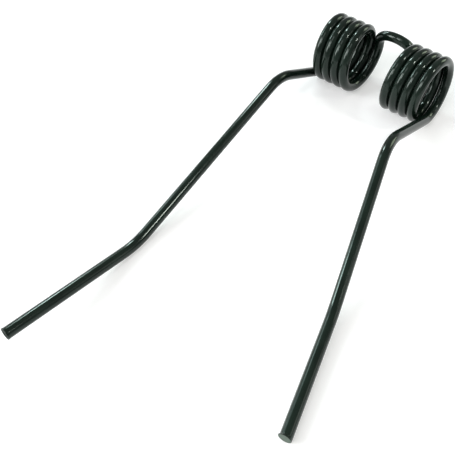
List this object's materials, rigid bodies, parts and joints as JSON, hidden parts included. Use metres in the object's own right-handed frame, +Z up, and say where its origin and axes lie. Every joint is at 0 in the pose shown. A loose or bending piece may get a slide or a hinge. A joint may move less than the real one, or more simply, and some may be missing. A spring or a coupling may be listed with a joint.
{
  "type": "rake tine",
  "caption": "Spring wire rake tine with paired coils, an arched bridge loop between them and cranked legs of unequal length.",
  "frame": {"origin": "middle of the common axis of the coils, halfway between them", "axes": "+X along the coil axis towards the shorter leg, -Y the way the legs run, +Z up as the tine lies at rest"},
  "size_m": [0.2024, 0.4263, 0.063],
  "materials": {
    "enamel": "glossy dark green-black enamel on hardened spring steel wire"
  },
  "bodies": {
    "root": {"tine_wire": "enamel"}
  },
  "joints": []
}
